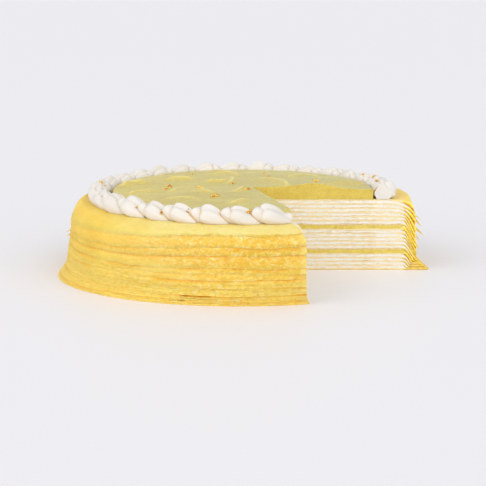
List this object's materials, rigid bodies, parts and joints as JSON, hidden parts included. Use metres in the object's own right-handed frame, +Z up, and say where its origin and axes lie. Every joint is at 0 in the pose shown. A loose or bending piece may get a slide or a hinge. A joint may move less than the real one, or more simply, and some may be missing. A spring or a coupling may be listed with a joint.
{
  "type": "crepe cake",
  "caption": "Round cake of thin crepes stacked with cream, with a green cream top, a piped whipped cream border and one slice cut out.",
  "frame": {"origin": "on the cake's axis, on the flat underside that it rests on", "axes": "+Z up; +X along the cut that faces the camera, towards the rim; the missing slice lies clockwise of it, from -72 to 0 degrees"},
  "size_m": [0.2452, 0.2395, 0.0588],
  "materials": {
    "crepe": "soft, matt, golden egg crepe with a fine browned grain",
    "cream": "matt off-white pastry cream",
    "green_cream": "smooth pale green cream with a soft sheen",
    "whipped_cream": "smooth white whipped cream with a soft sheen",
    "gold_leaf": "crumpled shiny gold leaf"
  },
  "bodies": {
    "root": {"crepe_01": "crepe", "crepe_02": "crepe", "crepe_03": "crepe", "crepe_04": "crepe", "crepe_05": "crepe", "crepe_06": "crepe", "crepe_07": "crepe", "crepe_08": "crepe", "crepe_09": "crepe", "crepe_10": "crepe", "crepe_11": "crepe", "crepe_12": "crepe", "crepe_13": "crepe", "crepe_14": "crepe", "crepe_15": "crepe", "crepe_16": "crepe", "crepe_17": "crepe", "crepe_18": "crepe", "cream_01": "cream", "cream_02": "cream", "cream_03": "cream", "cream_04": "cream", "cream_05": "cream", "cream_06": "cream", "cream_07": "cream", "cream_08": "cream", "cream_09": "cream", "cream_10": "cream", "cream_11": "cream", "cream_12": "cream", "cream_13": "cream", "cream_14": "cream", "cream_15": "cream", "green_filling_01": "green_cream", "green_filling_02": "green_cream", "green_top": "green_cream", "whipped_border": "whipped_cream"}
  },
  "joints": []
}
